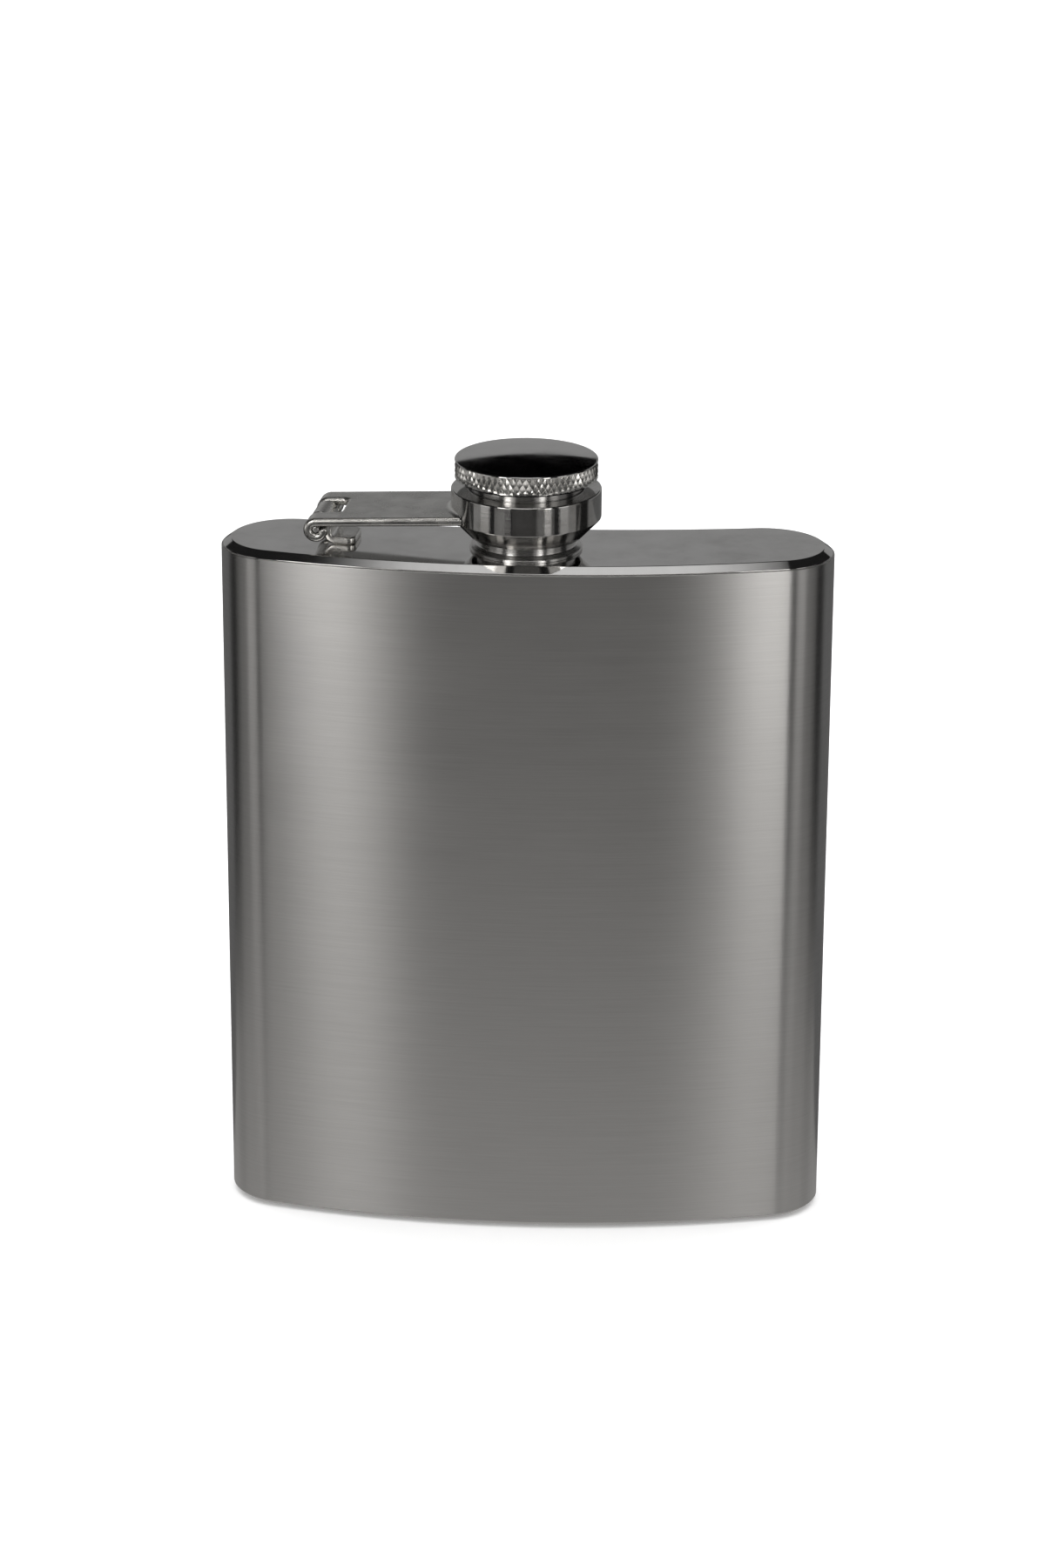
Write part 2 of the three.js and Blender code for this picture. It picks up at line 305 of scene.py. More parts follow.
def filled(mesh, outer, inner=None):
    """Closes a flat ring of vertices, leaving the hole inside the inner ring open."""
    loops = [outer] + ([inner] if inner else [])
    edges = []
    for loop in loops:
        for a, b in zip(loop, loop[1:] + loop[:1]):
            edges.append(mesh.edges.get((a, b)) or mesh.edges.new((a, b)))
    bmesh.ops.triangle_fill(mesh, use_beauty=True, edges=edges)


def build_pan(name, outer_z, sign, hole_radius=None):
    """An end pan whose flat face is at outer_z. sign is 1 for the shoulder and -1 for the base."""
    seam = outer_z - sign * BEVEL_HEIGHT
    skirt_end = seam - sign * (WALL_HIGH.z - SKIRT_BOTTOM)
    tucked = SHEET + FIT
    flat_margin = 0.4 * MM
    upper_bend = 0.25 * MM
    lower_bend = 0.12 * MM
    # Each corner is (distance inwards from the wall's outline, height, radius).
    corners = [
        (BEVEL_WIDTH + flat_margin, outer_z, 0),
        (BEVEL_WIDTH, outer_z, upper_bend),
        (0, seam, lower_bend),
        (tucked, seam, 0),
        (tucked, skirt_end, 0),
        (tucked + SHEET, skirt_end, 0),
        (tucked + SHEET, seam, 0),
    ]
    mesh = bmesh.new()
    rings = section_rings(mesh, filleted(corners, closed=False))
    holes = [None, None]
    if hole_radius:
        for k, height in enumerate((outer_z, seam)):
            circle = arc(0, 0, hole_radius, 0, 2 * math.pi, ROUND_STEPS)
            holes[k] = [mesh.verts.new((x, y, height)) for x, y in circle]
        loop_faces(mesh, holes[0], holes[1])
    filled(mesh, rings[0], holes[0])
    filled(mesh, rings[-1], holes[1])
    return finish_mesh(mesh, name)


# ---- The neck and its thread ----


def thread(start, turns, depth):
    """A right-handed thread's relief: depth on the crest, nothing between, tapering at both ends."""
    crest = 1.25  # over 1, so that the ridge's top is flat
    flank = 3.2  # how steeply the ridge falls, per pitch away from its middle
    end_rate = 3  # how fast the ridge grows from its ends, per turn
    end_depth = 0.2  # share of the full depth at the very ends

    def relief(angle, height):
        rise = (height - start) / THREAD_PITCH - angle / (2 * math.pi)
        if rise < -0.5 or rise > turns - 0.5:
            return 0
        nearest = round(rise)
        along = nearest + angle / (2 * math.pi)
        ridge = min(1, max(0, crest - flank * abs(rise - nearest)))
        from_end = min(along, turns - 1 - along)
        taper = min(1, max(0, end_rate * from_end + end_depth))
        smooth = ridge * ridge * (3 - 2 * ridge)
        return depth * smooth * taper

    return relief


def build_neck():
    land_top = SHOULDER + 2.3 * MM
    thread_low = land_top + 0.6 * MM
    thread_high = NECK_TOP - 0.5 * MM
    thread_middle = land_top + 1.1 * MM  # middle of the ridge where the thread starts
    turns = 4.2
    rows = divided((NECK_ROOT, thread_low), (NECK_ROOT, thread_high), 0.07 * MM)
    below = [
        (NECK_BORE, NECK_BOTTOM, 0.15 * MM),
        (NECK_SPIGOT, NECK_BOTTOM, 0.15 * MM),
        (NECK_SPIGOT, SHOULDER, 0),
        (FLANGE_RADIUS, SHOULDER, 0.05 * MM),
        (FLANGE_RADIUS, SHOULDER + 0.45 * MM, 0.22 * MM),
        (NECK_RADIUS, SHOULDER + 0.8 * MM, 0.3 * MM),
        (NECK_RADIUS, land_top, 0.25 * MM),
        (NECK_ROOT, land_top + 0.4 * MM, 0.15 * MM),
        (NECK_ROOT, thread_low, 0),
    ]
    above = [
        (NECK_ROOT, thread_high, 0),
        (NECK_ROOT, NECK_TOP, 0.35 * MM),
        (NECK_BORE, NECK_TOP, 0.3 * MM),
        (NECK_BORE, NECK_TOP - 1 * MM, 0),
    ]
    outline = filleted(below, closed=False)[:-1] + rows + filleted(above, closed=False)
    relief = thread(thread_middle, turns, NECK_RADIUS - NECK_ROOT)

    def outside_only(angle, height, radius):
        return relief(angle, height) if abs(radius - NECK_ROOT) < CLOSE else 0

    return turned("threaded_neck", outline, relief=outside_only)


# ---- The cap ----


def build_head():
    """The knurled head: two sets of crossing grooves leave rows of pointed diamonds."""
    ridges = 68
    columns = 2 * ridges
    rows = 3
    depth = 0.3 * MM
    margin = 0.27 * MM
    rim = 0.22 * MM
    edge_z = HEAD_TOP - HEAD_CROWN
    band_low, band_high = HEAD_BOTTOM + margin, edge_z - margin
    row_height = (band_high - band_low) / rows

    def knurl(angle, height, radius):
        in_band = band_low - CLOSE < height < band_high + CLOSE
        if radius < HEAD_RADIUS - CLOSE or not in_band:
            return 0
        row = round((height - band_low) / row_height)
        column = round(angle / (2 * math.pi) * columns)
        return 0 if (row + column) % 2 else -depth

    chamfer = 0.1 * MM
    under = [
        (0, HEAD_BOTTOM, 0),
        (HEAD_RADIUS - 3 * chamfer, HEAD_BOTTOM, chamfer),
        (HEAD_RADIUS - chamfer, band_low - chamfer, 0),
    ]
    band = [Vector((HEAD_RADIUS, band_low + row_height * k)) for k in range(rows + 1)]
    # The lid is part of a sphere, met by a small round at its edge.
    lid_radius = HEAD_RADIUS - rim
    sphere = (lid_radius**2 + HEAD_CROWN**2) / (2 * HEAD_CROWN)
    rim_angles = [math.radians(90 - 12 * k) for k in range(8)]
    round_edge = [
        Vector((lid_radius + rim * math.sin(a), edge_z - rim + rim * math.cos(a))) for a in rim_angles
    ]
    lid = []
    lid_steps = 14
    for k in range(lid_steps):
        out = lid_radius * (1 - k / lid_steps) if k else lid_radius - SUPPORT
        lid.append(Vector((out, HEAD_TOP - sphere + math.sqrt(sphere**2 - out**2))))
    outline = filleted(under, closed=False) + band + round_edge + lid + [Vector((0, HEAD_TOP))]

    def split_along_grooves(mesh):
        for face in mesh.faces[:]:
            in_band = all(band_low - CLOSE < v.co.z < band_high + CLOSE for v in face.verts)
            if in_band and len(face.verts) == 4:
                deep = sorted(face.verts, key=lambda v: v.co.xy.length)[:2]
                bmesh.utils.face_split(face, deep[0], deep[1])

    head = turned("knurled_head", outline, columns, knurl, split_along_grooves)
    for face in head.data.polygons:
        # The band takes the second material, and the lid and the underside the first.
        face.material_index = int(band_low < face.center.z < band_high)
    return head


def build_sleeve():
    ceiling = top("seal_disc") + 0.05 * MM
    ring_z = bottom("snap_ring")
    groove = SLEEVE_RADIUS - 0.3 * MM
    play = 0.1 * MM
    groove_low, groove_high = ring_z - play, ring_z + RING_THICKNESS + play
    web = 0.35 * MM  # height of the flare under the head
    thread_depth = 0.28 * MM
    bore_low, bore_high = SLEEVE_BOTTOM + 0.4 * MM, NECK_TOP - 1 * MM
    bore = divided((SLEEVE_BORE, bore_high), (SLEEVE_BORE, bore_low), 0.08 * MM)
    inside = [(0, ceiling, 0), (SLEEVE_BORE, ceiling, 0.2 * MM), (SLEEVE_BORE, bore_high, 0)]
    outside = [
        (SLEEVE_BORE, bore_low, 0),
        (SLEEVE_BORE, SLEEVE_BOTTOM, 0.12 * MM),
        (SLEEVE_RADIUS, SLEEVE_BOTTOM, 0.12 * MM),
        (SLEEVE_RADIUS, groove_low, 0.04 * MM),
        (groove, groove_low, 0),
        (groove, groove_high, 0),
        (SLEEVE_RADIUS, groove_high, 0.04 * MM),
        (SLEEVE_RADIUS, HEAD_BOTTOM - web, 0.1 * MM),
        (SLEEVE_RADIUS + 0.25 * MM, HEAD_BOTTOM, 0),
        (0, HEAD_BOTTOM, 0),
    ]
    outline = filleted(inside, closed=False)[:-1] + bore + filleted(outside, closed=False)
    turns = (bore_high - bore_low) / THREAD_PITCH
    relief = thread(bore_low, turns, thread_depth)

    def inside_only(angle, height, radius):
        return relief(angle, height) if abs(radius - SLEEVE_BORE) < CLOSE else 0

    return turned("cap_stem", outline, relief=inside_only)


def build_collar():
    edge = 0.22 * MM
    cavity = COLLAR_RADIUS - COLLAR_WALL
    lip = COLLAR_TOP - COLLAR_LIP
    cone_top = COLLAR_BOTTOM + CONE_RISE
    corners = [
        (COLLAR_MOUTH, COLLAR_BOTTOM, 0.1 * MM),
        (COLLAR_MOUTH + 0.3 * MM, COLLAR_BOTTOM, 0.1 * MM),
        (COLLAR_RADIUS, cone_top, edge),
        (COLLAR_RADIUS, COLLAR_TOP, edge),
        (COLLAR_BORE, COLLAR_TOP, 0.15 * MM),
        (COLLAR_BORE, lip, 0.05 * MM),
        (cavity, lip, 0),
        (cavity, cone_top + 0.3 * MM, 0.2 * MM),
        (COLLAR_MOUTH, COLLAR_BOTTOM + 1 * MM, 0.2 * MM),
    ]
    return turned("collar", filleted(corners))


def build_seal():
    low, high = bottom("seal_disc"), top("seal_disc")
    radius = reach("seal_disc")
    # The neck's rim has pressed a shallow ring into the underside.
    dent = 0.06 * MM
    outline = [
        (0, low, 0),
        (NECK_BORE - 0.3 * MM, low, 0.1 * MM),
        (NECK_BORE, low + dent, 0.1 * MM),
        (NECK_ROOT, low + dent, 0.1 * MM),
        (NECK_ROOT + 0.3 * MM, low, 0.1 * MM),
        (radius, low, 0.2 * MM),
        (radius, high, 0.2 * MM),
        (0, high, 0),
    ]
    return turned("seal", filleted(outline, closed=False))


def build_snap_ring():
    """A split ring of round-edged strip."""
    low = bottom("snap_ring")
    inner = SLEEVE_RADIUS - 0.2 * MM
    edge = 0.15 * MM
    corners = [
        (inner, low, edge),
        (RING_RADIUS, low, edge),
        (RING_RADIUS, low + RING_THICKNESS, edge),
        (inner, low + RING_THICKNESS, edge),
    ]
    outline = filleted(corners)
    half_gap = math.radians(9)
    columns = 120
    mesh = bmesh.new()
    rings = []
    for i in range(columns + 1):
        angle = half_gap + (2 * math.pi - 2 * half_gap) * i / columns
        away = Vector((math.cos(angle), math.sin(angle), 0))
        rings.append([mesh.verts.new(away * radius + Vector((0, 0, z))) for radius, z in outline])
    for first, second in zip(rings, rings[1:]):
        loop_faces(mesh, first, second)
    mesh.faces.new(rings[0])
    mesh.faces.new(list(reversed(rings[-1])))
    return finish_mesh(mesh, "retaining_ring")


# ---- Bent strips: the arm and the bracket ----


def offset_outline(outline, distance):
    """A closed anticlockwise outline moved inwards, point by point along its normals."""
    sharpest = 0.5  # keeps the shift of a point at a sharp corner within twice the distance
    moved = []
    count = len(outline)
    for i, point in enumerate(outline):
        before = (point - outline[i - 1]).normalized()
        after = (outline[(i + 1) % count] - point).normalized()
        along = (before + after).normalized()
        inwards = Vector((-along.y, along.x))
        stretch = 1 / max(sharpest, inwards.dot(Vector((-after.y, after.x))))
        moved.append(point + inwards * distance * stretch)
    return moved


def strip_solid(outline, thickness, edge, cuts):
    """A flat blank cut to outline (along, across), with rounded edges, cut across at every place in
    cuts so that it can be bent. Its third coordinate is the height above the middle of the sheet."""
    mesh = bmesh.new()
    steps = 5
    lower = [(edge + SUPPORT, -thickness / 2)]
    for k in range(steps + 1):
        angle = math.pi / 2 * k / steps
        lower.append((edge * (1 - math.sin(angle)), -thickness / 2 + edge * (1 - math.cos(angle))))
    layers = lower + [(inset, -height) for inset, height in reversed(lower)]
    rings = []
    for inset, height in layers:
        points = offset_outline(outline, inset)
        rings.append([mesh.verts.new((p.x, p.y, height)) for p in points])
    for first, second in zip(rings, rings[1:]):
        loop_faces(mesh, first, second)
    filled(mesh, rings[0])
    filled(mesh, rings[-1])
    for place in cuts:
        everything = mesh.verts[:] + mesh.edges[:] + mesh.faces[:]
        bmesh.ops.bisect_plane(mesh, geom=everything, plane_co=(place, 0, 0), plane_no=(1, 0, 0))
    return mesh


def bent(mesh, start, heading, bends, side):
    """Bends a flat blank along a path in x and z. bends is a list of (length, turn): a stretch of
    that length that turns by that angle, anticlockwise if positive. side is 1 where the blank's
    upper face is on the left of the path, and -1 where it is on the right."""
    for vertex in mesh.verts:
        along, across, height = vertex.co
        place, direction, left = Vector(start), heading, along
        for length, turn in bends:
            part = min(max(left, 0), length)
            if turn:
                radius = length / turn
                angle = part / radius
                place += radius * Vector(
                    (
                        math.sin(direction + angle) - math.sin(direction),
                        math.cos(direction) - math.cos(direction + angle),
                    )
                )
                direction += angle
            else:
                place += part * Vector((math.cos(direction), math.sin(direction)))
            left -= length
        if left > 0:
            place += left * Vector((math.cos(direction), math.sin(direction)))
        normal = side * Vector((-math.sin(direction), math.cos(direction)))
        vertex.co = (place.x + height * normal.x, across, place.y + height * normal.y)


def into_place(mesh, slope=0.0):
    """From the hinge's own frame, where +x points at the neck, to the flask's frame."""
    turn = Matrix.Rotation(-ARM_YAW, 4, "Z") @ Matrix.Rotation(-slope, 4, "Y")
    bmesh.ops.transform(mesh, matrix=Matrix.Translation(HINGE) @ turn, verts=mesh.verts)


ARM_ROLL = PIN_RADIUS + 0.06 * MM + ARM_SHEET / 2  # hinge axis to the middle of the strap's sheet
ARM_CURL = math.radians(280)  # how far the strap's end is rolled round the pin
ARM_CUTS = 56
BRACKET_CURL = math.radians(284)
BRACKET_BEND = 0.6 * MM + BRACKET_SHEET / 2  # radius of the bend from foot to riser


def build_arm():
    rolled = ARM_ROLL * ARM_CURL
    half = ARM_WIDTH / 2
    notch = NOTCH_WIDTH / 2
    notch_end = rolled + NOTCH_REACH
    corner = 0.3 * MM
    collar_x = rolled + ARM_LENGTH
    fit = COLLAR_RADIUS + 0.02 * MM
    span = math.asin(half / fit)
    steps = 24
    angles = [span - 2 * span * k / steps for k in range(steps + 1)]
    end = [(collar_x - fit * math.cos(a), -fit * math.sin(a), 0) for a in angles]
    # Anticlockwise: the front edge, the end that fits the collar, the back edge and the notch.
    back = [
        (0, half, corner),
        (0, notch, corner),
        (notch_end, notch, 3 * corner),
        (notch_end, -notch, 3 * corner),
        (0, -notch, corner),
    ]
    outline = filleted([(0, -half, corner)] + end + back)
    cuts = [rolled * k / ARM_CUTS for k in range(1, ARM_CUTS + 1)]
    mesh = strip_solid(outline, ARM_SHEET, 0.5 * MM, cuts)
    first = math.pi / 2 + ARM_CURL
    start = (ARM_ROLL * math.cos(first), ARM_ROLL * math.sin(first))
    bent(mesh, start, first - math.pi / 2, [(rolled, -ARM_CURL)], 1)
    into_place(mesh, ARM_SLOPE)
    return finish_mesh(mesh, "arm_strap")


def build_bracket():
    """A foot on the shoulder, a bend up into a riser, and a roll round the pin."""
    roll = PIN_RADIUS + 0.05 * MM + BRACKET_SHEET / 2
    deck = SHOULDER - HINGE.z
    foot = FOOT_REACH - roll - BRACKET_BEND
    bend = BRACKET_BEND * math.pi / 2
    rise = -(deck + BRACKET_SHEET / 2 + BRACKET_BEND)
    rolled = roll * BRACKET_CURL
    roll_start = foot + bend + rise
    total = roll_start + rolled
    half = BRACKET_WIDTH / 2
    corners = [
        (0, -half, 1.2 * MM),
        (total, -half, 0.2 * MM),
        (total, half, 0.2 * MM),
        (0, half, 1.2 * MM),
    ]
    bend_steps = 10
    roll_steps = 48
    cuts = [foot + bend * k / bend_steps for k in range(bend_steps + 1)]
    cuts += [roll_start + rolled * k / roll_steps for k in range(roll_steps)]
    mesh = strip_solid(filleted(corners), BRACKET_SHEET, 0.3 * MM, cuts)
    bends = [(foot, 0), (bend, -math.pi / 2), (rise, 0), (rolled, BRACKET_CURL)]
    bent(mesh, (FOOT_REACH, deck + BRACKET_SHEET / 2), math.pi, bends, -1)
    into_place(mesh)
    return finish_mesh(mesh, "bracket")


def build_pin():
    half = (ARM_WIDTH - 0.8 * MM) / 2
    edge = 0.15 * MM
    corners = [(0, -half, 0), (PIN_RADIUS, -half, edge), (PIN_RADIUS, half, edge), (0, half, 0)]
    piece = turned("pin", filleted(corners, closed=False), columns=48)
    turn = Matrix.Rotation(-ARM_YAW, 4, "Z") @ Matrix.Rotation(math.pi / 2, 4, "X")
    piece.data.transform(Matrix.Translation(HINGE) @ turn)
    return piece


def build_weld():
    """The concave fillets, above and below the strap, that join it to the collar."""
    steps = 28
    profile_steps = 8
    half = ARM_WIDTH / 2 - 0.35 * MM
    bite = 0.05 * MM  # how far the fillet's hidden corner lies inside the strap
    slope = math.tan(ARM_SLOPE)
    mesh = bmesh.new()
    for side, height, run in ((1, 0.55 * MM, 0.8 * MM), (-1, 0.4 * MM, 0.5 * MM)):
        profile = [(0, -bite)]
        for k in range(profile_steps + 1):
            angle = math.pi / 2 * k / profile_steps
            profile.append((run * (1 - math.sin(angle)), height * (1 - math.cos(angle))))
        rings = []
        for i in range(steps + 1):
            share = 2 * i / steps - 1
            across = half * share
            fade = 0.1 + 0.9 * math.sqrt(1 - share**6)  # the fillet thins out at the strap's edges
            circle = math.sqrt(COLLAR_RADIUS**2 - across**2)
            ring = []
            for out, up in profile:
                x = ARM_LENGTH - circle - out * fade
                above_sheet = up if up < 0 else up * fade
                z = ARM_ROLL + x * slope + side * (ARM_SHEET / 2 + above_sheet)
                ring.append(mesh.verts.new((x, across, z)))
            rings.append(ring)
        for first, second in zip(rings, rings[1:]):
            loop_faces(mesh, first, second)
        mesh.faces.new(rings[0])
        mesh.faces.new(list(reversed(rings[-1])))
    into_place(mesh)
    return finish_mesh(mesh, "arm_weld", sharp_angle=60)


# ---- Materials ----


class Nodes:
    """Adds nodes to a material and links them."""

    def __init__(self, name):
        self.material = bpy.data.materials.new(name)
        self.material.use_nodes = True
        self.tree = self.material.node_tree
        self.shader = self.tree.nodes["Principled BSDF"]

    def add(self, kind, inputs=None, **settings):
        node = self.tree.nodes.new(kind)
        for name, value in settings.items():
            setattr(node, name, value)
        for name, value in (inputs or {}).items():
            if isinstance(value, bpy.types.NodeSocket):
                self.tree.links.new(value, node.inputs[name])
            else:
                node.inputs[name].default_value = value
        return node

    def connect(self, output, name):
        self.tree.links.new(output, self.shader.inputs[name])

    def stretched(self, source, scale):
        return self.add("ShaderNodeMapping", {"Vector": source, "Scale": scale}).outputs["Vector"]

    def noise(self, vector, scale, detail=2.0, roughness=0.5):
        inputs = {"Vector": vector, "Scale": scale, "Detail": detail, "Roughness": roughness}
        return self.add("ShaderNodeTexNoise", inputs).outputs["Fac"]

    def ramp(self, value, low, high, start, end):
        inputs = {
            "Value": value,
            "From Min": low,
            "From Max": high,
            "To Min": start,
            "To Max": end,
        }
        return self.add("ShaderNodeMapRange", inputs).outputs["Result"]

    def combine(self, first, second, operation="ADD"):
        node = self.add("ShaderNodeMath", operation=operation)
        for socket, value in zip(node.inputs, (first, second)):
            if isinstance(value, bpy.types.NodeSocket):
                self.tree.links.new(value, socket)
            else:
                socket.default_value = value
        return node.outputs[0]

    def mix(self, factor, first, second):
        """Two colours mixed. A mix node has sockets for every type, so the colours go by place."""
        first_colour, second_colour, mixed_colour = 6, 7, 2
        node = self.add("ShaderNodeMix", data_type="RGBA")
        self.tree.links.new(factor, node.inputs["Factor"])
        node.inputs[first_colour].default_value = first
        node.inputs[second_colour].default_value = second
        return node.outputs[mixed_colour]

    def bump(self, height, distance, strength=1.0):
        inputs = {"Height": height, "Distance": distance, "Strength": strength}
        self.connect(self.add("ShaderNodeBump", inputs).outputs["Normal"], "Normal")

    def set(self, name, value):
        self.shader.inputs[name].default_value = value

    def brush_along(self, **direction):
        """Metal brushed along a direction, which spreads reflections across it."""
        self.set("Anisotropic", 0.94)
        self.set("Anisotropic Rotation", 0.25)
        self.connect(self.add("ShaderNodeTangent", **direction).outputs["Tangent"], "Tangent")


def brushed_steel():
    """Fine horizontal brushing: streaks follow the wall's own map, round the section."""
    nodes = Nodes("brushed_steel")
    wall = nodes.add("ShaderNodeUVMap", uv_map="brushing").outputs["UV"]
    fine = nodes.noise(nodes.stretched(wall, (120, 9000, 1)), 1.0, 3.0, 0.6)
    long = nodes.noise(nodes.stretched(wall, (28, 2600, 1)), 1.0, 2.0)
    broad = nodes.noise(nodes.stretched(wall, (35, 60, 1)), 1.0, 3.0)
    fine_share = nodes.combine(fine, 0.6, "MULTIPLY")
    long_share = nodes.combine(long, 0.4, "MULTIPLY")
    streaks = nodes.combine(fine_share, long_share)
    tone = nodes.mix(
        nodes.ramp(streaks, 0.35, 0.65, 0.0, 1.0),
        (0.60, 0.592, 0.582, 1),
        (0.66, 0.652, 0.642, 1),
    )
    nodes.connect(tone, "Base Color")
    roughness = nodes.ramp(streaks, 0.3, 0.7, 0.33, 0.39)
    unevenness = nodes.ramp(broad, 0.3, 0.7, -0.02, 0.02)
    nodes.connect(nodes.combine(roughness, unevenness), "Roughness")
    nodes.set("Metallic", 1)
    nodes.brush_along(direction_type="UV_MAP", uv_map="brushing")
    nodes.bump(streaks, 0.0015 * MM)
    return nodes.material


def polished_steel():
    """A mirror polish with faint smudges and hairline scratches."""
    nodes = Nodes("polished_steel")
    place = nodes.add("ShaderNodeTexCoord").outputs["Object"]
    smudge = nodes.noise(place, 160.0, 4.0, 0.6)
    scratch = nodes.noise(nodes.stretched(place, (900, 900, 12000)), 1.0, 3.0, 0.7)
    nodes.connect(nodes.ramp(smudge, 0.35, 0.75, 0.045, 0.11), "Roughness")
    tone = nodes.mix(
        nodes.ramp(smudge, 0.3, 0.7, 0.0, 1.0),
        (0.70, 0.695, 0.685, 1),
        (0.64, 0.632, 0.62, 1),
    )
    nodes.connect(tone, "Base Color")
    nodes.set("Metallic", 1)
    nodes.bump(scratch, 0.0006 * MM)
    return nodes.material


def satin_steel():
    """Steel tumbled smooth rather than polished: the strips, and the knurl."""
    nodes = Nodes("satin_steel")
    place = nodes.add("ShaderNodeTexCoord").outputs["Object"]
    grain = nodes.noise(place, 5200.0, 3.0, 0.6)
    patches = nodes.noise(place, 300.0, 3.0)
    nodes.connect(nodes.ramp(patches, 0.35, 0.7, 0.2, 0.3), "Roughness")
    tone = nodes.mix(
        nodes.ramp(grain, 0.35, 0.65, 0.0, 1.0),
        (0.80, 0.79, 0.765, 1),
        (0.72, 0.708, 0.68, 1),
    )
    nodes.connect(tone, "Base Color")
    nodes.set("Metallic", 1)
    nodes.bump(grain, 0.0015 * MM)
    return nodes.material


def turned_steel(name, low, high):
    """Bright machined steel, with the fine rings that a lathe leaves round the neck's axis."""
    nodes = Nodes(name)
    place = nodes.add("ShaderNodeTexCoord").outputs["Object"]
    rings = nodes.noise(nodes.stretched(place, (60, 60, 14000)), 1.0, 2.0)
    stain = nodes.noise(place, 420.0, 3.0)
    nodes.connect(nodes.ramp(rings, 0.3, 0.7, low, high), "Roughness")
    tone = nodes.mix(
        nodes.ramp(stain, 0.35, 0.7, 0.0, 1.0),
        (0.66, 0.652, 0.64, 1),
        (0.56, 0.548, 0.53, 1),
    )
    nodes.connect(tone, "Base Color")
    nodes.set("Metallic", 1)
    nodes.brush_along(direction_type="RADIAL", axis="Z")
    nodes.bump(rings, 0.002 * MM)
    return nodes.material


def silicone():
    """Soft, milky rubber."""
    nodes = Nodes("silicone")
    place = nodes.add("ShaderNodeTexCoord").outputs["Object"]
    mottle = nodes.noise(place, 900.0, 4.0)
    tone = nodes.mix(
        nodes.ramp(mottle, 0.3, 0.7, 0.0, 1.0),
        (0.80, 0.78, 0.73, 1),
        (0.70, 0.675, 0.62, 1),
    )
    nodes.connect(tone, "Base Color")
    nodes.connect(nodes.ramp(mottle, 0.3, 0.7, 0.45, 0.62), "Roughness")
    nodes.set("Subsurface Weight", 0.2)
    nodes.set("Subsurface Scale", 1 * MM)
    nodes.bump(mottle, 0.01 * MM)
    return nodes.material


# ---- The object's pieces on their bodies ----


def place_piece(piece, materials, body, slot, *replaced):
    """Gives a piece its materials and the body it rides on, and hides the CAD nodes it replaces. slot
    is not used.
    """
    for material in materials if isinstance(materials, tuple) else (materials,):
        piece.data.materials.append(material)
    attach(piece, body)
    if replaced:
        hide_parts(*replaced)


def build_flask():
    brushed = brushed_steel()
    polished = polished_steel()
    satin = satin_steel()
    machined = turned_steel("machined_steel", 0.24, 0.32)
    buffed = turned_steel("buffed_steel", 0.1, 0.15)
    hole = NECK_SPIGOT + FIT
    place_piece(build_wall(), brushed, "flask", "brushed_steel", "body_shell")
    shoulder = build_pan("shoulder", SHOULDER, 1, hole)
    place_piece(shoulder, polished, "flask", "polished_steel", "shoulder_pan")
    place_piece(build_pan("base", 0, -1), polished, "flask", "polished_steel", "base_pan")
    place_piece(build_neck(), machined, "flask", "polished_steel", "neck")
    place_piece(build_bracket(), satin, "flask", "polished_steel", "hinge_bracket")
    place_piece(build_pin(), machined, "flask", "plain_steel", "hinge_pin")
    place_piece(build_arm(), satin, "arm", "polished_steel", "cap_arm")
    place_piece(build_weld(), satin, "arm", "polished_steel")
    place_piece(build_collar(), buffed, "arm", "polished_steel", "collar_ring")
    place_piece(build_seal(), silicone(), "seal", "silicone", "seal_disc")
    place_piece(build_head(), (polished, satin), "cap", "polished_steel", "cap_head")
    place_piece(build_sleeve(), machined, "cap", "plain_steel", "cap_sleeve")
    place_piece(build_snap_ring(), machined, "cap", "plain_steel", "snap_ring")


# ---- Camera, floor and light ----

CAMERA_AZIMUTH = math.radians(3.05)
CAMERA_ELEVATION = math.radians(20.4)
CAMERA_ROLL = math.radians(0.24)
CAMERA_DISTANCE = 0.708
CAMERA_LENS = 103.87  # in millimetres, for the sensor width below
SENSOR_WIDTH = 36
LOOK_AT = Vector((0, 0, 0.055))
AIM_UP = 0.015  # how far above LOOK_AT the camera's axis passes
AIM_LEFT = 0.0004  # and how far to the left of it

NEAR = 0.25  # distances of the upright cards from the neck's axis
MIDWAY = 0.35
FAR = 0.6
CARD_STEP = math.radians(4)
CARD_COLOUR = (1, 0.985, 0.965, 1)


def add_camera():
    """Looks at the front from a little to the right and from above, as the photograph does."""
    azimuth, elevation = CAMERA_AZIMUTH, CAMERA_ELEVATION
    back = Vector(
        (
            math.sin(azimuth) * math.cos(elevation),
            -math.cos(azimuth) * math.cos(elevation),
            math.sin(elevation),
        )
    )
    right = Vector((math.cos(azimuth), math.sin(azimuth), 0))
    up = back.cross(right)
    rolled_right = math.cos(CAMERA_ROLL) * right + math.sin(CAMERA_ROLL) * up
    rolled_up = back.cross(rolled_right)
    data = bpy.data.cameras.new("camera")
    data.lens = CAMERA_LENS
    data.sensor_width = SENSOR_WIDTH
    data.clip_start = 0.01
    camera = bpy.data.objects.new("camera", data)
    bpy.context.scene.collection.objects.link(camera)
    place = LOOK_AT + AIM_UP * up - AIM_LEFT * right + CAMERA_DISTANCE * back
    turn = Matrix((rolled_right, rolled_up, back)).transposed().to_4x4()
    camera.matrix_world = Matrix.Translation(place) @ turn
    bpy.context.scene.camera = camera


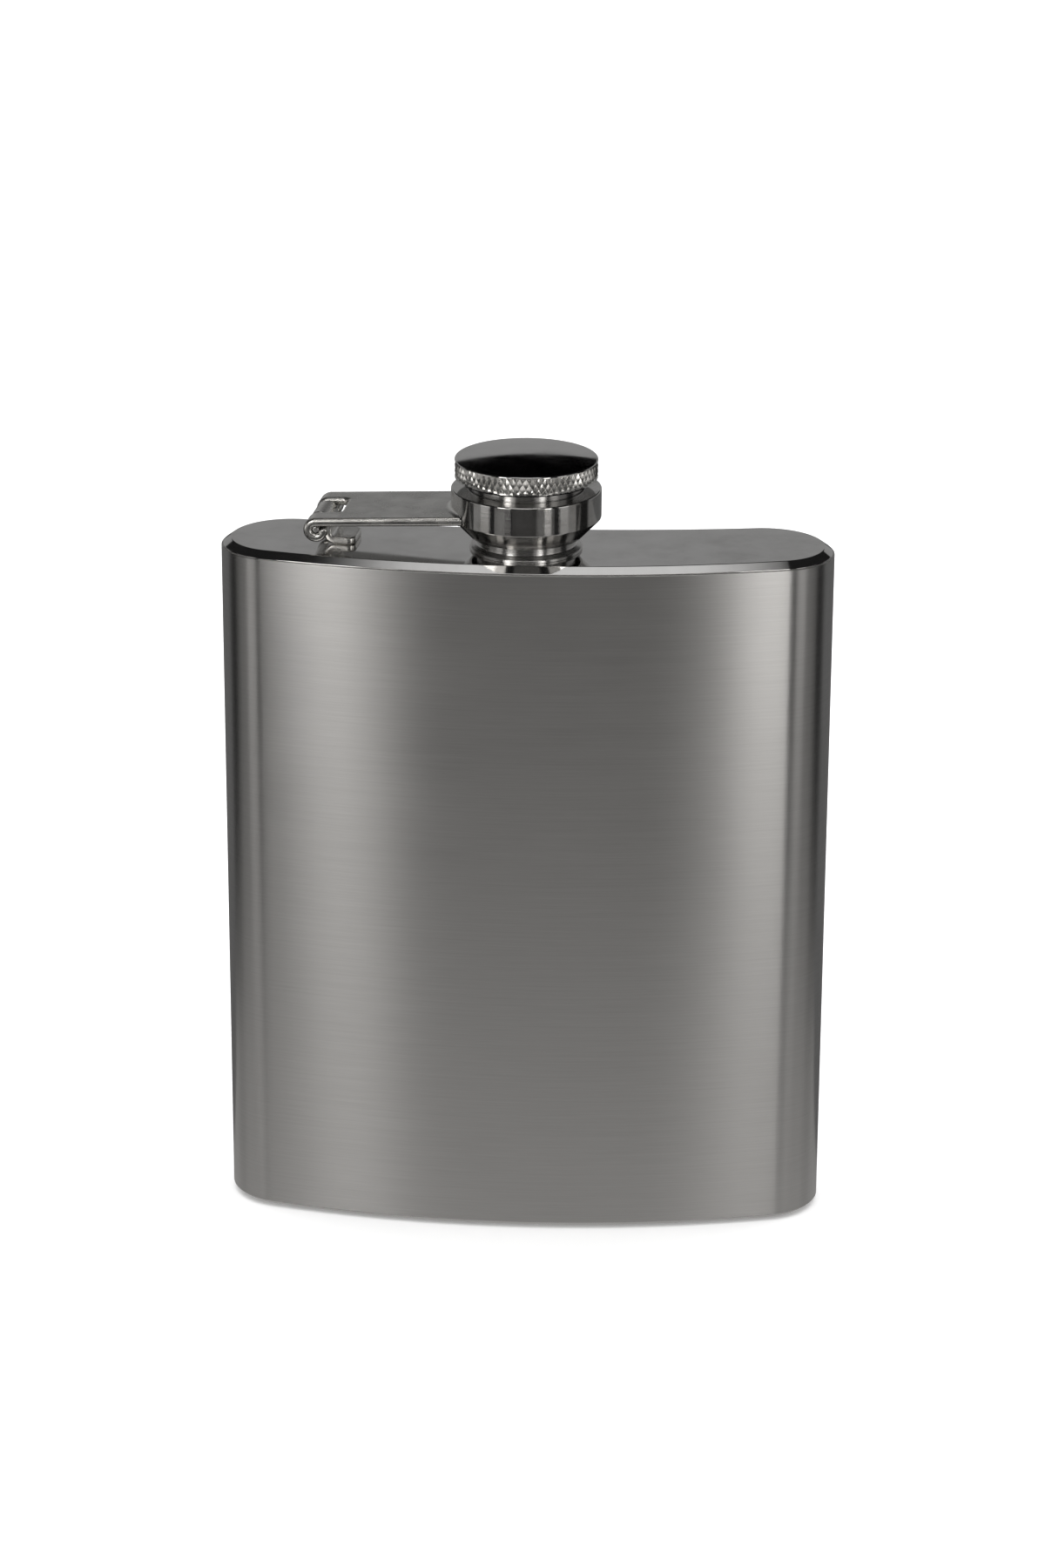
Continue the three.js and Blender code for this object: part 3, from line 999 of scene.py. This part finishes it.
def add_floor():
    """A pale floor that glows a little, so that it is as white as the room. The metal doesn't
    mirror it, because the table's cards stand in for it there."""
    half_size = 40
    mesh = bmesh.new()
    bmesh.ops.create_grid(mesh, x_segments=1, y_segments=1, size=half_size)
    floor = finish_mesh(mesh, "floor")
    nodes = Nodes("floor")
    nodes.set("Base Color", (0.93, 0.93, 0.93, 1))
    nodes.set("Roughness", 0.9)
    nodes.set("Specular IOR Level", 0)
    nodes.set("Emission Color", (1, 1, 1, 1))
    nodes.set("Emission Strength", 0.08)
    floor.data.materials.append(nodes.material)
    floor.visible_glossy = False


def direction_to(azimuth):
    """A level direction: azimuth 0 is straight in front, and positive azimuths are towards +x."""
    return Vector((math.sin(azimuth), -math.cos(azimuth), 0))


def glowing(name, level):
    """A black surface that gives off a slightly warm light."""
    nodes = Nodes(name)
    nodes.set("Base Color", (0, 0, 0, 1))
    nodes.set("Specular IOR Level", 0)
    nodes.set("Emission Color", CARD_COLOUR)
    nodes.set("Emission Strength", level)
    return nodes.material


def add_card(name, level, mesh):
    """A piece of the studio that the metal mirrors and that shows nowhere else."""
    card = finish_mesh(mesh, name)
    card.data.materials.append(glowing(name, level))
    card.visible_camera = False
    card.visible_diffuse = False
    card.visible_shadow = False
    card.visible_transmission = False


def add_ring_card(name, level, azimuths, inner, outer):
    """Part of a ring round the neck's axis. inner and outer are each (distance, height)."""
    start, end = (math.radians(azimuth) for azimuth in azimuths)
    steps = max(2, round((end - start) / CARD_STEP))
    mesh = bmesh.new()
    columns = []
    for k in range(steps + 1):
        away = direction_to(start + (end - start) * k / steps)
        edges = [away * distance + Vector((0, 0, height)) for distance, height in (inner, outer)]
        columns.append([mesh.verts.new(place) for place in edges])
    for first, second in zip(columns, columns[1:]):
        mesh.faces.new((first[0], second[0], second[1], first[1]))
    add_card(name, level, mesh)


def add_upright_cards():
    """Softboxes and fills. Each row is a name, a level, azimuths in degrees, a distance and the
    heights of the lower and upper edge."""
    cards = (
        ("left_softbox", 5.2, (-40, -29), NEAR, 0.13, 0.25),
        ("left_fill", 1.2, (-30, -20), FAR, 0, 0.3),
        ("left_strip", 1.3, (-68, -52), NEAR, 0.06, 0.13),
        ("right_softbox", 4.0, (30, 40), NEAR, 0.07, 0.15),
        ("right_upper", 1.6, (30, 40), NEAR, 0.15, 0.25),
        ("right_fill", 0.5, (20, 30), FAR, 0, 0.3),
        ("right_strip", 0.9, (52, 68), NEAR, 0.06, 0.2),
        ("middle_fill", 0.1, (-12, 12), FAR, 0, 0.3),
        ("front_top", 1.8, (-35, 35), MIDWAY, 0.5, 0.9),
        ("left_end", 0.3, (-90, -66), FAR, 0, 0.3),
        ("right_end", 0.3, (66, 90), FAR, 0, 0.3),
    )
    for name, level, azimuths, distance, low, high in cards:
        add_ring_card(name, level, azimuths, (distance, low), (distance, high))


def add_table_cards():
    """The lit table as the metal mirrors it. Each row is a name, a level, azimuths in degrees and
    the distances of the inner and outer edge. Each card lies a little lower than the one before it,
    so that no two are in the same plane."""
    cards = (
        ("table_near", 0.36, (-110, 110), 0, 0.15),
        ("table_glow", 0.9, (-40, 40), 0.06, 0.1),
        ("table_middle", 0.055, (-18, 18), 0.3, 0.5),
        ("table_left", 0.19, (-46, -30), 0.3, 0.5),
        ("table_right", 0.12, (18, 46), 0.3, 0.5),
        ("table_far_left", 0.26, (-84, -56), 0.3, 0.5),
        ("table_far_right", 0.24, (56, 84), 0.3, 0.5),
    )
    drop = 0.2 * MM
    for i, (name, level, azimuths, inner, outer) in enumerate(cards):
        height = -drop * (i + 1)
        add_ring_card(name, level, azimuths, (inner, height), (outer, height))


def add_overhead_light():
    data = bpy.data.lights.new("overhead", "AREA")
    data.size = 3
    data.energy = 30
    light = bpy.data.objects.new("overhead", data)
    bpy.context.scene.collection.objects.link(light)
    light.location = (0, 0, 1.7)
    light.visible_camera = False
    light.visible_glossy = False


def add_flag():
    """A black disc behind the flask, which darkens the middle of what the lid mirrors."""
    radius = 0.06
    place = Vector((0, 0.15, 0.2265))
    mesh = bmesh.new()
    bmesh.ops.create_circle(mesh, cap_ends=True, segments=64, radius=radius)
    upright = Matrix.Rotation(math.pi / 2, 4, "X")
    bmesh.ops.transform(mesh, matrix=Matrix.Translation(place) @ upright, verts=mesh.verts)
    add_card("flag", 0, mesh)


def add_studio():
    """The room as the metal sees it: dark in front, a grey backdrop behind that ends in the dark at
    backdrop_top, and a pale ceiling above ceiling_edge, both in degrees above the horizon. Seen
    directly the room is plain white."""
    backdrop_top = 19.1
    backdrop_level = 0.28
    backdrop_sides = (0.3, 0.42)  # how far back a direction points where the backdrop fades in
    table_edge = -6  # below the horizon the backdrop fades to the table's level by this angle
    table_level = 0.1
    ceiling_edge = 78
    ceiling_level = 0.75
    dark_level = 0.012
    world = bpy.data.worlds.new("studio")
    bpy.context.scene.world = world
    world.use_nodes = True
    tree = world.node_tree
    background = tree.nodes["Background"]
    direction = tree.nodes.new("ShaderNodeTexCoord").outputs["Generated"]
    split = tree.nodes.new("ShaderNodeSeparateXYZ")
    tree.links.new(direction, split.inputs[0])

    def step(output, low, high, start, end):
        node = tree.nodes.new("ShaderNodeMapRange")
        node.interpolation_type = "SMOOTHSTEP"
        tree.links.new(split.outputs[output], node.inputs["Value"])
        for name, value in zip(("From Min", "From Max", "To Min", "To Max"), (low, high, start, end)):
            node.inputs[name].default_value = value
        return node.outputs["Result"]

    def combined(operation, first, second):
        node = tree.nodes.new("ShaderNodeMath")
        node.operation = operation
        tree.links.new(first, node.inputs[0])
        tree.links.new(second, node.inputs[1])
        return node.outputs[0]

    def sine(degrees):
        return math.sin(math.radians(degrees))

    low_down = step("Z", sine(backdrop_top - 0.4), sine(backdrop_top + 0.4), 1, 0)
    grey = step("Z", sine(table_edge), 0, table_level, backdrop_level)
    behind = step("Y", *backdrop_sides, 0, 1)
    backdrop = combined("MULTIPLY", combined("MULTIPLY", low_down, grey), behind)
    ceiling = step("Z", sine(ceiling_edge - 5), sine(ceiling_edge + 5), dark_level, ceiling_level)
    level = combined("ADD", backdrop, ceiling)
    path = tree.nodes.new("ShaderNodeLightPath")
    mirrored = combined("MULTIPLY", level, path.outputs["Is Glossy Ray"])
    direct = tree.nodes.new("ShaderNodeMath")
    direct.operation = "SUBTRACT"
    direct.inputs[0].default_value = 1
    tree.links.new(path.outputs["Is Glossy Ray"], direct.inputs[1])
    seen = combined("ADD", mirrored, direct.outputs[0])
    tree.links.new(seen, background.inputs["Color"])


bpy.context.scene.view_settings.view_transform = "Standard"
add_camera()
build_flask()
add_floor()
add_upright_cards()
add_table_cards()
add_overhead_light()
add_flag()
add_studio()
